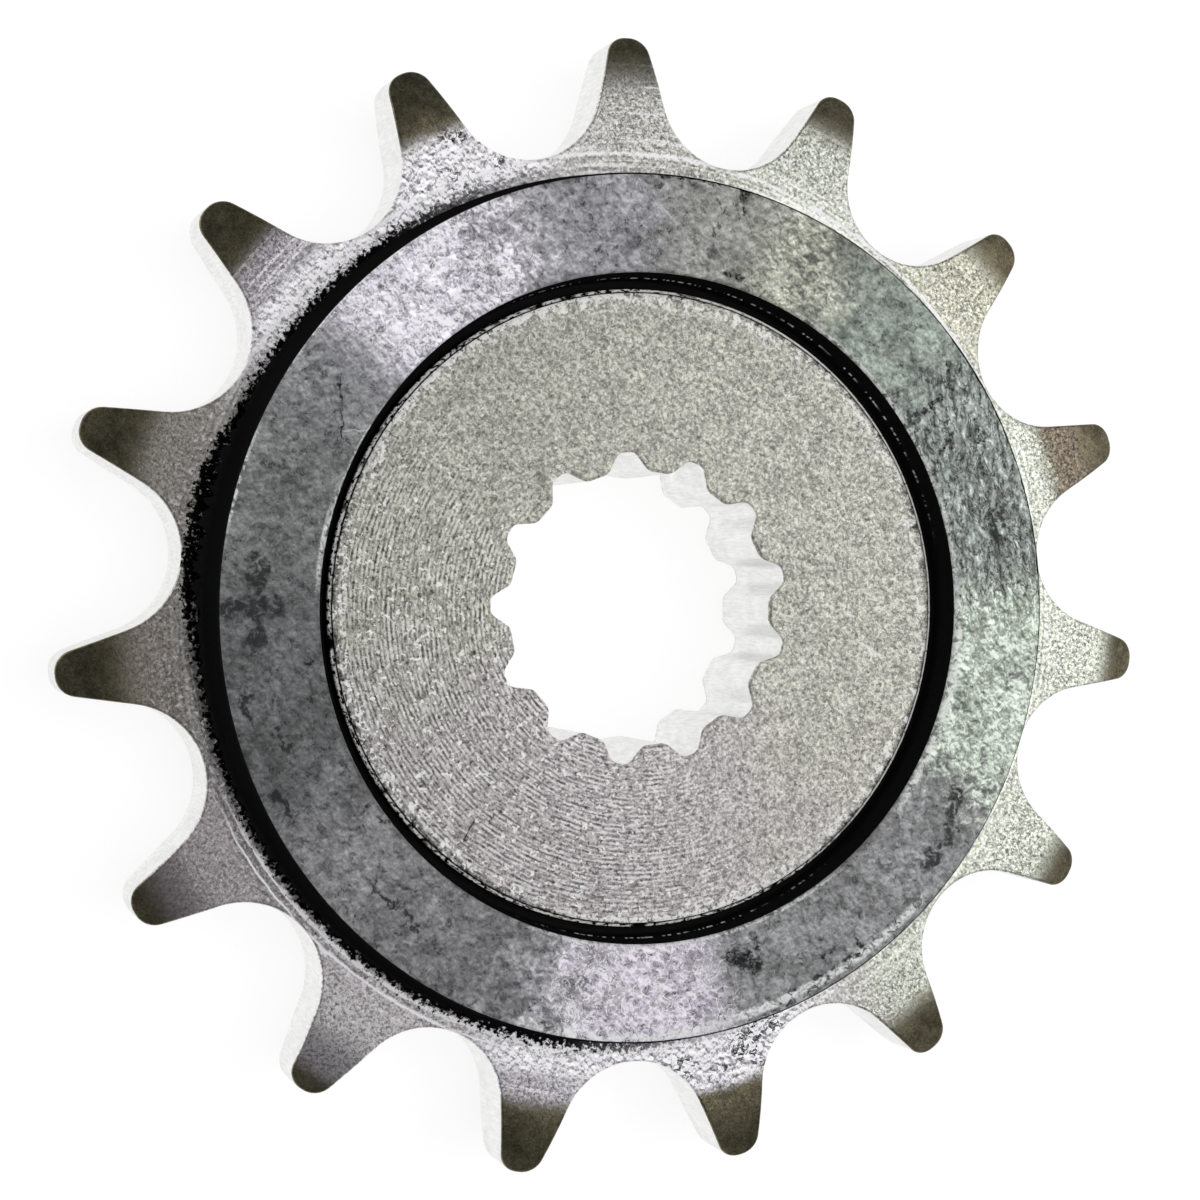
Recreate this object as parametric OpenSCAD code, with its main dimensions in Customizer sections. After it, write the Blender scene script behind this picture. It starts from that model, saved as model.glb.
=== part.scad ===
// Cushioned drive sprocket for a roller chain: a splined steel body with a rubber ring on each face.
// The bore axis is Z, and Z = 0 is the toothed plate's middle plane.
// One tooth and one spline groove lie on +Y.

/* [Chain] */
// Pitch of the chain
chain_pitch = 15.875; // [15.2:0.005:18]
// Diameter of the chain's rollers
roller_d = 10.16; // [9.4:0.01:11]
// Number of teeth
teeth = 15; // [13:1:20]

/* [Teeth] */
// Thickness of the toothed plate
plate_t = 5.8; // [4.5:0.1:8]
// Room between a roller and the end of its seat, on the radius
seat_clearance = 0.58; // [0.1:0.01:0.8]
// Lean of a straight tooth flank towards the middle of its tooth, in degrees
flank_lean = 13.9; // [10:0.1:17]
// Height of a tooth above the pitch circle
tip_above_pitch = 3.46; // [2.6:0.02:4.2]
// Rounding of the two corners at a tooth's tip
tip_round = 1.5; // [0.5:0.05:1.6]
// Radius of the arc that thins a tooth towards its tip, on each side
relief_r = 15.9; // [10:0.1:24]
// Depth below the tip at which that arc starts
relief_depth = 4.4; // [2.5:0.1:6]

/* [Hub] */
// Diameter of the hub boss
hub_d = 46.04; // [40:0.02:50]
// Height of the hub boss above the toothed plate, on each side
hub_rise = 1.93; // [0.8:0.01:3]
// Chamfer around the rim of the hub boss
hub_chamfer = 0.3; // [0.1:0.05:0.6]

/* [Spline] */
// Number of grooves in the bore
spline_grooves = 13; // [11:1:15]
// Diameter across the bottoms of the grooves
spline_major_d = 22.6; // [21.6:0.05:23.4]
// Diameter across the tops of the lobes
spline_minor_d = 19.8; // [19:0.05:20.4]
// Width of a groove at its bottom, before rounding
groove_w = 1.2; // [0.9:0.05:1.6]
// Lean of a groove's flanks from its middle line, in degrees
groove_lean = 32; // [24:1:38]
// Rounding at the bottom of a groove
groove_round = 0.7; // [0.2:0.05:0.8]
// Rounding on the shoulders of a lobe
lobe_round = 0.95; // [0.4:0.05:1.2]
// Lead-in chamfer on the lobes at both ends of the bore
bore_chamfer = 0.15; // [0.05:0.05:0.4]

/* [Damper rings] */
// Height of a rubber ring above the toothed plate
ring_h = 4.02; // [2.6:0.02:6]
// Distance from the bottoms of the tooth gaps in to the foot of a ring
ring_setback = 1.6; // [0.8:0.05:3]
// Draft on the outer and inner walls of a ring, in degrees
ring_draft = 6; // [2:0.5:12]
// Open width of the groove between the hub boss and the top of a ring
hub_groove_w = 1.03; // [0.8:0.01:2]
// Thickness of the rubber web that floors that groove
web_t = 0.5; // [0.2:0.05:0.7]
// Gap between that web and the wall of the hub boss
web_clearance = 0.05; // [0.02:0.01:0.15]
// Rounding of the two upper edges of a ring
ring_edge_r = 0.35; // [0.1:0.05:0.6]

/* [Hidden] */
$fn = 96;

steel_colour = [0.63, 0.62, 0.58];
rubber_colour = [0.13, 0.14, 0.15];

// Length by which a cut runs past the surface that it opens
overcut = 1;
// Share of its radius by which a rounding stands proud of the surfaces it joins, so that it crosses them
proud_share = 0.02;

// Radii of the tooth form
tooth_angle = 360 / teeth;
pitch_r = chain_pitch / (2 * sin(tooth_angle / 2));
root_r = pitch_r - roller_d / 2;
seat_r = roller_d / 2 + seat_clearance;
seat_y = root_r + seat_r;
tip_r = pitch_r + tip_above_pitch;

// One tooth gap, drawn about +Y: its flanks open at this angle from the middle of the gap
gap_lean = tooth_angle / 2 + flank_lean;
flank_dir = [sin(gap_lean), cos(gap_lean)];
flank_in = [cos(gap_lean), -sin(gap_lean)];
flank_start = [0, seat_y] + inset(seat_r) * flank_in;

// Rounding at the tip corner, between the flank and the tip circle
tip_line = flank_start + inset(tip_round) * flank_in;
tip_centre = tip_line + far_reach(tip_line, flank_dir, tip_r - inset(tip_round)) * flank_dir;
flank_end = tip_centre - inset(tip_round) * flank_in;
tip_outside = tip_centre * (tip_r + overcut + tip_round) / norm(tip_centre);

// Side relief of the teeth: the arc crosses the plate's face at this small angle, in degrees
relief_angle = 3;
relief_lead = relief_r * sin(relief_angle);
relief_centre_r = tip_r - relief_depth - relief_lead;
relief_z = plate_t / 2 - relief_r * cos(relief_angle);

hub_r = hub_d / 2;
hub_half_t = plate_t / 2 + hub_rise;

// One spline groove, drawn about +Y
spline_major_r = spline_major_d / 2;
spline_minor_r = spline_minor_d / 2;
groove_dir = [-sin(groove_lean), cos(groove_lean)];
groove_in = [cos(groove_lean), sin(groove_lean)];
groove_corner = [groove_w / 2, spline_major_r];

// Rounding at the bottom corner of a groove
groove_touch = inset(groove_round) * tan((90 - groove_lean) / 2);
groove_centre = groove_corner - [groove_touch, inset(groove_round)];

// Rounding on the shoulder of a lobe, between the groove's flank and the lobe's top
lobe_line = groove_corner + inset(lobe_round) * groove_in;
lobe_centre = lobe_line
    - near_reach(lobe_line, -groove_dir, spline_minor_r + inset(lobe_round)) * groove_dir;
lobe_flank_end = lobe_centre - inset(lobe_round) * groove_in;
lobe_inside = lobe_centre * (spline_minor_r - overcut) / norm(lobe_centre);

// Section of a rubber ring: radius outwards, height above the plate
ring_lean = ring_h * tan(ring_draft);
ring_foot_r = root_r - ring_setback;
ring_outer_r = ring_foot_r - ring_lean;
ring_inner_r = hub_r + hub_groove_w;
web_r = hub_r + web_clearance;
ring_throat_r = ring_inner_r - (ring_h - web_t) * tan(ring_draft);
ring_round = min(ring_edge_r, (ring_h - web_t) / 2);
ring_touch = inset(ring_round) * tan((90 - ring_draft) / 2);

// Distance of a rounding's centre from the surfaces it joins
function inset(r) = r * (1 - proud_share);

// Distance from point p along the unit direction d to where it crosses a circle of radius r about the axis
function far_reach(p, d, r) = -(p * d) + sqrt(pow(p * d, 2) - p * p + r * r);
function near_reach(p, d, r) = -(p * d) - sqrt(pow(p * d, 2) - p * p + r * r);

// A point with its first coordinate turned to the other side
function mirrored(p) = [-p[0], p[1]];

// Spoke number i out of n, counted from +Y
module spokes(n) {
    for (i = [0 : n - 1]) rotate(i * 360 / n) children();
}

// One tooth gap: the roller seat, straight flanks and the rounded corners of the two tips
module tooth_gap() {
    translate([0, seat_y]) circle(seat_r);
    difference() {
        polygon([
            flank_start, flank_end, tip_centre, tip_outside,
            mirrored(tip_outside), mirrored(tip_centre), mirrored(flank_end), mirrored(flank_start)
        ]);
        for (p = [tip_centre, mirrored(tip_centre)]) translate(p) circle(tip_round);
    }
}

// One spline groove, from inside the lobes' top circle out to its bottom
module spline_groove() {
    flank_touch = groove_corner - groove_touch * groove_dir;
    floor_touch = groove_corner - [groove_touch, 0];
    half = [lobe_inside, lobe_centre, lobe_flank_end, flank_touch, floor_touch];
    difference() {
        union() {
            polygon(concat(half, [for (i = [len(half) - 1 : -1 : 0]) mirrored(half[i])]));
            for (p = [groove_centre, mirrored(groove_centre)]) translate(p) circle(groove_round);
        }
        for (p = [lobe_centre, mirrored(lobe_centre)]) translate(p) circle(lobe_round);
    }
}

// Half section of the turned steel blank: hub boss with chamfered rims, and plate with thinned tooth zone
module blank_section() {
    polygon([
        [0, -hub_half_t], [hub_r - hub_chamfer, -hub_half_t], [hub_r, -hub_half_t + hub_chamfer],
        [hub_r, hub_half_t - hub_chamfer], [hub_r - hub_chamfer, hub_half_t], [0, hub_half_t]
    ]);
    intersection() {
        translate([0, -plate_t / 2]) square([tip_r, plate_t]);
        union() {
            translate([0, -plate_t]) square([relief_centre_r, 2 * plate_t]);
            intersection() {
                translate([relief_centre_r, relief_z]) circle(relief_r);
                translate([relief_centre_r, -relief_z]) circle(relief_r);
            }
        }
    }
}

// The splined bore with a lead-in chamfer at each end
module splined_bore() {
    translate([0, 0, -hub_half_t - overcut]) linear_extrude(2 * (hub_half_t + overcut)) {
        circle(spline_minor_r);
        spokes(spline_grooves) spline_groove();
    }
    lead_in = bore_chamfer + overcut;
    for (side = [0, 1]) mirror([0, 0, side]) translate([0, 0, hub_half_t - bore_chamfer])
        cylinder(h = lead_in, r1 = spline_minor_r, r2 = spline_minor_r + lead_in);
}

// Section of a rubber ring with its groove web, standing on the plate's face
module ring_section() {
    outer_top = [ring_outer_r, ring_h];
    inner_top = [ring_inner_r, ring_h];
    outer_down = [sin(ring_draft), -cos(ring_draft)];
    inner_down = [-sin(ring_draft), -cos(ring_draft)];
    polygon([
        [web_r, 0], [ring_foot_r, 0],
        outer_top + ring_touch * outer_down, outer_top - [ring_touch, 0],
        inner_top + [ring_touch, 0], inner_top + ring_touch * inner_down,
        [ring_throat_r, web_t], [web_r, web_t]
    ]);
    for (r = [ring_outer_r - ring_touch, ring_inner_r + ring_touch])
        translate([r, ring_h - inset(ring_round)]) circle(ring_round);
}

module sprocket_body() {
    color(steel_colour) difference() {
        rotate_extrude() blank_section();
        translate([0, 0, -plate_t]) linear_extrude(2 * plate_t)
            spokes(teeth) rotate(tooth_angle / 2) tooth_gap();
        splined_bore();
    }
}

module front_damper_ring() {
    color(rubber_colour) translate([0, 0, plate_t / 2]) rotate_extrude() ring_section();
}

module rear_damper_ring() {
    mirror([0, 0, 1]) front_damper_ring();
}

sprocket_body();
front_damper_ring();
rear_damper_ring();
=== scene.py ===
import math

import bpy
import numpy as np
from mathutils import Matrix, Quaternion, Vector, noise


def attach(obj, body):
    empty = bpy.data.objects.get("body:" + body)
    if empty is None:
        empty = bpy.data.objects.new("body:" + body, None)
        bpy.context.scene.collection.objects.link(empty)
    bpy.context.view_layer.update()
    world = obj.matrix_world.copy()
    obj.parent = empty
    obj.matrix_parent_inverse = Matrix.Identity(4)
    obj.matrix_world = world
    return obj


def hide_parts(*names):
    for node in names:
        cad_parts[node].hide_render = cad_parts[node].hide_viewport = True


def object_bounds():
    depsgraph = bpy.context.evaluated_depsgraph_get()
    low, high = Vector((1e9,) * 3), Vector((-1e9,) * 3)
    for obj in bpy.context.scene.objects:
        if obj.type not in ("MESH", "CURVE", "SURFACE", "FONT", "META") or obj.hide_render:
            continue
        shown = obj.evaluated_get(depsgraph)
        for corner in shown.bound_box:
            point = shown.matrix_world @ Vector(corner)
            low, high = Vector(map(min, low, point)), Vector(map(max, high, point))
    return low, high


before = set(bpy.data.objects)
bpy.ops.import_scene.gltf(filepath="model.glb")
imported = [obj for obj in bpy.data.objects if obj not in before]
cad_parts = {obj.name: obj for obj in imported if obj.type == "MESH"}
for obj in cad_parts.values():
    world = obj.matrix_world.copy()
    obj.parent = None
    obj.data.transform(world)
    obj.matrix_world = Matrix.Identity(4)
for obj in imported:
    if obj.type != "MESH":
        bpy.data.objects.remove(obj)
cad_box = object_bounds()

# Lengths in this script are millimetres, and meshes are written in metres
MM = 0.001
FULL_TURN = 2 * math.pi


def node_points(name):
    """The corners of a CAD node's mesh, in millimetres."""
    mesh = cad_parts[name].data
    corners = np.empty(len(mesh.vertices) * 3, np.float32)
    mesh.vertices.foreach_get("co", corners)
    return corners.reshape(-1, 3).astype(float) / MM


# Sizes read from the frame
NEAR = 0.02
body_points = node_points("sprocket_body")
body_radii = np.hypot(body_points[:, 0], body_points[:, 1])
ring_points = node_points("front_damper_ring")
ring_radii = np.hypot(ring_points[:, 0], ring_points[:, 1])
tip_r = body_radii.max()
lobe_r = body_radii.min()
hub_top = body_points[:, 2].max()
plate_top = ring_points[:, 2].min()
hub_r = body_radii[body_points[:, 2] > plate_top + NEAR].max()
hub_face_r = body_radii[body_points[:, 2] > hub_top - NEAR].max()
ring_h = ring_points[:, 2].max() - plate_top
ring_foot_r = ring_radii.max()
web_r = ring_radii.min()
web_t = ring_points[ring_radii < web_r + NEAR, 2].max() - plate_top

# Tooth form: chain, roller seat, flank, tip and side relief
CHAIN_PITCH = 15.875
ROLLER_D = 10.16
TEETH = 15
SEAT_CLEARANCE = 0.58
FLANK_LEAN = math.radians(13.9)
TIP_ROUND = 1.5
RELIEF_R = 15.9
RELIEF_DEPTH = 4.4
RELIEF_ANGLE = math.radians(3)

# Spline form
GROOVES = 13
GROOVE_BOTTOM_R = 11.3
GROOVE_W = 1.2
GROOVE_LEAN = math.radians(32)
GROOVE_ROUND = 0.7
LOBE_ROUND = 0.95
BORE_CHAMFER = 0.15

# Worn edges of the steel: round the teeth, on the hub's rim and at the bore's mouth
TOOTH_EDGE = 0.13
HUB_EDGE = 0.05
BORE_EDGE = 0.06
# The hub's face rolls off a little before its rim
RIM_ROLL_W = 0.40
RIM_ROLL_DROP = 0.06

# Rubber rings: wall draft, upper edges, the groove beside the hub, the moulding flash on the steel
RING_DRAFT = math.radians(6)
RING_EDGE = 0.35
HUB_GROOVE_W = 1.03
FLASH_T = 0.035
RING_COLUMNS = 1080

# The view: where the camera looks, and from where
CAMERA_AIM = (1.596, 0.458, 0)
CAMERA_AZIMUTH = math.radians(34.308)
CAMERA_ELEVATION = math.radians(71.657)
CAMERA_DISTANCE = 190.945
CAMERA_ROLL = math.radians(91.437)
CAMERA_SENSOR = 36
CAMERA_LENS = 77.684


# Outlines in the plane

def arc(centre, radius, start, end, count):
    """Points along an arc from one angle to another, without the last one."""
    angles = np.linspace(start, end, count, endpoint=False)
    return centre + radius * np.stack([np.cos(angles), np.sin(angles)], 1)


def line(start, end, count):
    """Points along a straight line, without the last one."""
    return start + (end - start) * np.linspace(0, 1, count, endpoint=False)[:, None]


def crossing(point, direction, radius, side):
    """Where a line crosses a circle about the axis: the far crossing for side 1, the near one for side -1."""
    along = point @ direction
    distance = -along + side * math.sqrt(along**2 - point @ point + radius**2)
    return point + distance * direction


def polar_angle(vector):
    """The angle of a vector in the plane, from +X."""
    return math.atan2(vector[1], vector[0])


def turned(points, angle):
    """Points in the plane, turned about the axis."""
    c, s = math.cos(angle), math.sin(angle)
    return points @ np.array([[c, s], [-s, c]])


def all_round(half, end, count):
    """A closed outline, clockwise from +Y, made of copies of one pattern.

    The pattern is a half, the point at the half's end, and its mirror image.
    """
    pitch = FULL_TURN / count
    back = turned(half[:0:-1] * (-1, 1), -pitch)
    pattern = np.concatenate([half, end[None], back])
    return np.concatenate([turned(pattern, -i * pitch) for i in range(count)])


def tooth_outline():
    """The toothed rim, starting at the middle of the tooth on +Y."""
    half_pitch = FULL_TURN / TEETH / 2
    root_r = CHAIN_PITCH / (2 * math.sin(half_pitch)) - ROLLER_D / 2
    seat_r = ROLLER_D / 2 + SEAT_CLEARANCE
    seat = np.array([0, root_r + seat_r])
    lean = half_pitch + FLANK_LEAN
    up_flank = np.array([math.sin(lean), math.cos(lean)])
    into_tooth = np.array([math.cos(lean), -math.sin(lean)])
    flank_start = seat + seat_r * into_tooth
    tip_centre = crossing(flank_start + TIP_ROUND * into_tooth, up_flank, tip_r - TIP_ROUND, 1)
    tip_angle = polar_angle(tip_centre)
    half = np.concatenate([
        arc(seat, seat_r, -math.pi / 2, -lean, 11),
        line(flank_start, tip_centre - TIP_ROUND * into_tooth, 4),
        arc(tip_centre, TIP_ROUND, math.pi - lean, tip_angle, 9),
        arc(np.zeros(2), tip_r, tip_angle, math.pi / 2 - half_pitch, 2),
    ])
    end = turned(np.array([[0, tip_r]]), -half_pitch)[0]
    outline = turned(all_round(half, end, TEETH), half_pitch)
    return np.roll(outline, -len(half), axis=0)


def bore_outline():
    """The splined bore, starting at the middle of the groove on +Y."""
    half_pitch = FULL_TURN / GROOVES / 2
    up_flank = np.array([-math.sin(GROOVE_LEAN), math.cos(GROOVE_LEAN)])
    into_lobe = np.array([math.cos(GROOVE_LEAN), math.sin(GROOVE_LEAN)])
    corner = np.array([GROOVE_W / 2, GROOVE_BOTTOM_R])
    touch = GROOVE_ROUND * math.tan((math.pi / 2 - GROOVE_LEAN) / 2)
    bottom = corner - np.array([touch, GROOVE_ROUND])
    lobe = crossing(corner + LOBE_ROUND * into_lobe, -up_flank, lobe_r + LOBE_ROUND, -1)
    lobe_angle = polar_angle(lobe)
    half = np.concatenate([
        line(np.array([0, GROOVE_BOTTOM_R]), corner - np.array([touch, 0]), 3),
        arc(bottom, GROOVE_ROUND, math.pi / 2, GROOVE_LEAN, 6),
        line(corner - touch * up_flank, lobe - LOBE_ROUND * into_lobe, 6),
        arc(lobe, LOBE_ROUND, math.pi + GROOVE_LEAN, math.pi + lobe_angle, 8),
        arc(np.zeros(2), lobe_r, lobe_angle, math.pi / 2 - half_pitch, 7),
    ])
    end = turned(np.array([[0, lobe_r]]), -half_pitch)[0]
    return all_round(half, end, GROOVES)


def circle(radius, columns):
    """A circle about the axis, clockwise from +Y."""
    angles = math.pi / 2 - np.arange(columns) * FULL_TURN / columns
    return np.stack([np.cos(angles), np.sin(angles)], 1) * np.asarray(radius).reshape(-1, 1)


def outward(outline):
    """Unit vectors square to a clockwise outline, away from the axis."""
    along = np.roll(outline, -1, axis=0) - np.roll(outline, 1, axis=0)
    square = np.stack([-along[:, 1], along[:, 0]], 1)
    return square / np.hypot(square[:, 0], square[:, 1])[:, None]


# Meshes

def loft(name, rows, finishes, materials, flipped=False):
    """A closed skin through rows of points, each a closed loop. Strip i joins row i to the next one."""
    columns = len(rows[0])
    count = len(rows)
    row = np.repeat(np.arange(count), columns)
    column = np.tile(np.arange(columns), count)
    next_row = (row + 1) % count
    next_column = (column + 1) % columns
    quads = np.stack([
        row * columns + column,
        row * columns + next_column,
        next_row * columns + next_column,
        next_row * columns + column,
    ], 1)
    if flipped:
        quads = quads[:, ::-1]
    mesh = bpy.data.meshes.new(name)
    mesh.from_pydata((np.concatenate(rows) * MM).tolist(), [], quads.tolist())
    for material in materials:
        mesh.materials.append(material)
    mesh.polygons.foreach_set("material_index", np.repeat(finishes, columns).astype(np.int32))
    mesh.shade_smooth()
    mesh.update()
    piece = bpy.data.objects.new(name, mesh)
    bpy.context.scene.collection.objects.link(piece)
    return piece


def raised(outline, height):
    """An outline at a height, which is one number or one for each point."""
    return np.column_stack([outline, np.broadcast_to(height, len(outline))])


def face_height(outline):
    """Height of the toothed plate's face at each point, lowered by the side relief towards the tips."""
    radius = np.hypot(outline[:, 0], outline[:, 1])
    centre_r = tip_r - RELIEF_DEPTH - RELIEF_R * math.sin(RELIEF_ANGLE)
    centre_z = plate_top - RELIEF_R * math.cos(RELIEF_ANGLE)
    beyond = np.clip(radius - centre_r, 0, RELIEF_R)
    return np.minimum(plate_top, centre_z + np.sqrt(RELIEF_R**2 - beyond**2))


HUB_FINISH, PLATE_FINISH, WALL_FINISH, EDGE_FINISH = range(4)


def steel_rows():
    """Rows from the middle of the bore's wall over the front face to the middle of the rim, with finishes."""
    rim = tooth_outline()
    rim_out = outward(rim)
    bore = bore_outline()
    bore_radii = np.hypot(bore[:, 0], bore[:, 1])
    columns = len(rim)
    rows = []

    def add(outline, height, finish):
        rows.append((raised(outline, height), finish))

    def bore_at(height, grown=0):
        cone_r = lobe_r + max(0, height - lead_in)
        radius = np.maximum(bore_radii, cone_r) + grown
        return bore * (radius / bore_radii)[:, None]

    lead_in = hub_top - BORE_CHAMFER
    for height in (0, lead_in - 0.1 * BORE_CHAMFER, lead_in):
        add(bore_at(height), height, WALL_FINISH)
    for height in np.linspace(lead_in, hub_top - BORE_EDGE, 5)[1:]:
        add(bore_at(height), height, HUB_FINISH)
    mouth = bore_at(hub_top, BORE_EDGE)
    add(bore_at(hub_top, 0.3 * BORE_EDGE), hub_top - 0.3 * BORE_EDGE, HUB_FINISH)
    add(mouth, hub_top, HUB_FINISH)

    face_end = circle(hub_face_r - RIM_ROLL_W, columns)
    for share in (0.01, 0.06, 0.2, 0.4, 0.6, 0.8, 0.94, 1):
        add(mouth + (face_end - mouth) * share, hub_top, HUB_FINISH)
    for share in (0.3, 0.6, 0.85, 1):
        radius = hub_face_r - RIM_ROLL_W * (1 - share)
        add(circle(radius, columns), hub_top - RIM_ROLL_DROP * share**2, HUB_FINISH)
    chamfer = hub_r - hub_face_r
    for radius, drop in (
        (hub_face_r + HUB_EDGE, RIM_ROLL_DROP + HUB_EDGE),
        (hub_r - HUB_EDGE, chamfer - HUB_EDGE),
        (hub_r - 0.2 * HUB_EDGE, chamfer),
        (hub_r, chamfer + HUB_EDGE),
        (hub_r, hub_top - plate_top - web_t),
        (hub_r, hub_top - plate_top),
    ):
        add(circle(radius, columns), hub_top - drop, EDGE_FINISH)

    plate_start = circle(ring_foot_r - 2 * RING_EDGE, columns)
    plate_end = rim - TOOTH_EDGE * rim_out
    for share in np.linspace(0, 1, 18):
        outline = plate_start + (plate_end - plate_start) * share
        add(outline, face_height(outline), PLATE_FINISH)
    edge_top = face_height(plate_end)
    for angle in np.radians((30, 60, 90)):
        outline = rim - TOOTH_EDGE * (1 - math.sin(angle)) * rim_out
        add(outline, edge_top - TOOTH_EDGE * (1 - math.cos(angle)), PLATE_FINISH)
    for height in (edge_top - 2 * TOOTH_EDGE, 0):
        add(rim, height, WALL_FINISH)
    return rows


def steel_body(materials):
    """The steel piece: the front half's rows and their mirror image."""
    front = steel_rows()
    back = [(points * (1, 1, -1), finish) for points, finish in front[1:-1]]
    rows = [points for points, _ in front] + [points for points, _ in back[::-1]]
    front_strips = [finish for _, finish in front[1:]]
    return loft("steel_body", rows, front_strips + front_strips[::-1], materials)


TOP_FINISH, SIDE_FINISH = range(2)
# Nicks in a rubber ring's face: radius, angle in degrees from +X, size and depth
NICKS = (
    (31.0, -60.0, 0.40, 0.30), (30.6, -67.8, 0.55, 0.45), (24.8, -69.0, 0.45, 0.20),
    (28.5, -132.5, 0.60, 0.18), (26.6, 141.5, 0.70, 0.15),
)
# Depths of the face's waves and of its coarse and fine creases, and where it is crumpled: angle and spread
WAVE_DEPTH = 0.012
CREASE_DEPTH = 0.18
FINE_CREASE_DEPTH = 0.09
CRUMPLE = (-124, 32)
# The flash's least width, where it spreads, and where it is widest: angle and spread
FLASH_LEAST = 0.06
FLASH = (47, 80)
FLASH_WIDE = (27, 15)
# A fine bead round the inner wall: the share of the wall's height at which it runs, its height and its spread
BEAD_SHARE = 0.45
BEAD_H = 0.05
BEAD_SPREAD = 0.09


def noise_field(points, scale, seed):
    """Smooth noise between about -1 and 1 at each point."""
    shift = Vector((seed, 2 * seed, 3 * seed))
    return np.array([noise.noise(Vector(point) * scale + shift) for point in points])


def near_angle(points, degrees, spread):
    """1 at an angle about the axis, falling to 0 at a spread in degrees to either side of it."""
    edge = math.cos(math.radians(spread))
    away = np.cos(np.arctan2(points[:, 1], points[:, 0]) - math.radians(degrees))
    share = np.clip((away - edge) / (1 - edge), 0, 1)
    return share * share * (3 - 2 * share)


def ring_top_dip(points, seed):
    """How far a point of the ring's face lies below the moulded face: waves, creases and nicks."""
    waves = WAVE_DEPTH * (1 + noise_field(points, 0.35, seed))
    crease = 1 - np.abs(noise_field(points, 0.55, seed + 5))
    fine = 1 - np.abs(noise_field(points, 1.3, seed + 9))
    dip = waves + near_angle(points, *CRUMPLE) * (CREASE_DEPTH * crease**6 + FINE_CREASE_DEPTH * fine**5)
    for radius, degrees, size, depth in NICKS:
        angle = math.radians(degrees)
        away = np.hypot(points[:, 0] - radius * math.cos(angle), points[:, 1] - radius * math.sin(angle))
        dip += depth * np.exp(-(away / size) ** 2 * (1.4 + noise_field(points, 1.8, seed + 3)))
    return dip


def flash_width(seed, reach):
    """Width of the thin ragged skin of rubber on the steel round a ring's foot, for each column."""
    foot = raised(circle(ring_foot_r, RING_COLUMNS), 0)
    ragged = 0.5 + 0.9 * noise_field(foot, 1.6, seed + 20) + 0.5 * noise_field(foot, 4.5, seed + 30)
    spread = near_angle(foot, *FLASH) + 0.9 * near_angle(foot, *FLASH_WIDE)
    return FLASH_LEAST + reach * np.clip(ragged, 0.05, 1.4) * spread


def ring_rows(seed, flash_reach):
    """Rows round a rubber ring's section, from the web's foot over the face to the flash, with finishes."""
    outer_r = ring_foot_r - ring_h * math.tan(RING_DRAFT)
    inner_r = hub_r + HUB_GROOVE_W
    touch = RING_EDGE * math.tan((math.pi / 2 - RING_DRAFT) / 2)
    throat_r = inner_r - (ring_h - web_t) * math.tan(RING_DRAFT)
    rows = []

    def add(radius, height, finish):
        rows.append((raised(circle(radius, RING_COLUMNS), plate_top + height), finish))

    ripple = noise_field(raised(circle(ring_foot_r, RING_COLUMNS), 0), 0.9, seed + 11)
    add(web_r, 0, SIDE_FINISH)
    add(web_r, 0.8 * web_t, SIDE_FINISH)
    add(web_r + 0.2 * web_t, web_t, SIDE_FINISH)
    add(throat_r - 0.3 * web_t, web_t, SIDE_FINISH)
    wall_h = ring_h - web_t - touch
    for share in np.linspace(0.04, 1, 11):
        bead = BEAD_H * math.exp(-((share - BEAD_SHARE) / BEAD_SPREAD) ** 2) * (1 + 0.6 * ripple)
        add(throat_r + wall_h * share * math.tan(RING_DRAFT) - bead, web_t + wall_h * share, SIDE_FINISH)
    turn = math.pi / 2 - RING_DRAFT
    for angle in turn * np.array([0.2, 0.4, 0.6, 0.8]):
        radius = inner_r + touch - RING_EDGE * math.cos(RING_DRAFT + angle)
        add(radius, ring_h - RING_EDGE + RING_EDGE * math.sin(RING_DRAFT + angle), TOP_FINISH)
    for radius in np.linspace(inner_r + touch, outer_r - touch, 40):
        add(radius, ring_h, TOP_FINISH)
    for share in (0.8, 0.6, 0.4, 0.2, 0):
        angle = RING_DRAFT + turn * share
        radius = outer_r - touch + RING_EDGE * math.cos(angle)
        finish = TOP_FINISH if share > 0.5 else SIDE_FINISH
        add(radius, ring_h - RING_EDGE + RING_EDGE * math.sin(angle), finish)
    for share in (0.75, 0.5, 0.25, 0.06):
        add(ring_foot_r - ring_h * share * math.tan(RING_DRAFT), ring_h * share, SIDE_FINISH)
    spill = flash_width(seed, flash_reach)
    add(ring_foot_r + 0.3 * spill, 1.6 * FLASH_T, SIDE_FINISH)
    add(ring_foot_r + 0.85 * spill, FLASH_T, SIDE_FINISH)
    add(ring_foot_r + spill, 0, SIDE_FINISH)
    for points, finish in rows:
        if finish == TOP_FINISH:
            points[:, 2] -= ring_top_dip(points, seed)
    return rows


def rubber_ring(name, seed, flash_reach, materials, side):
    """A rubber ring, on the front for side 1 and on the rear for side -1."""
    rows = ring_rows(seed, flash_reach)
    points = [row * (1, 1, side) for row, _ in rows]
    finishes = [finish for _, finish in rows[1:]] + [SIDE_FINISH]
    return loft(name, points, finishes, materials, flipped=side < 0)


# Materials

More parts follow.
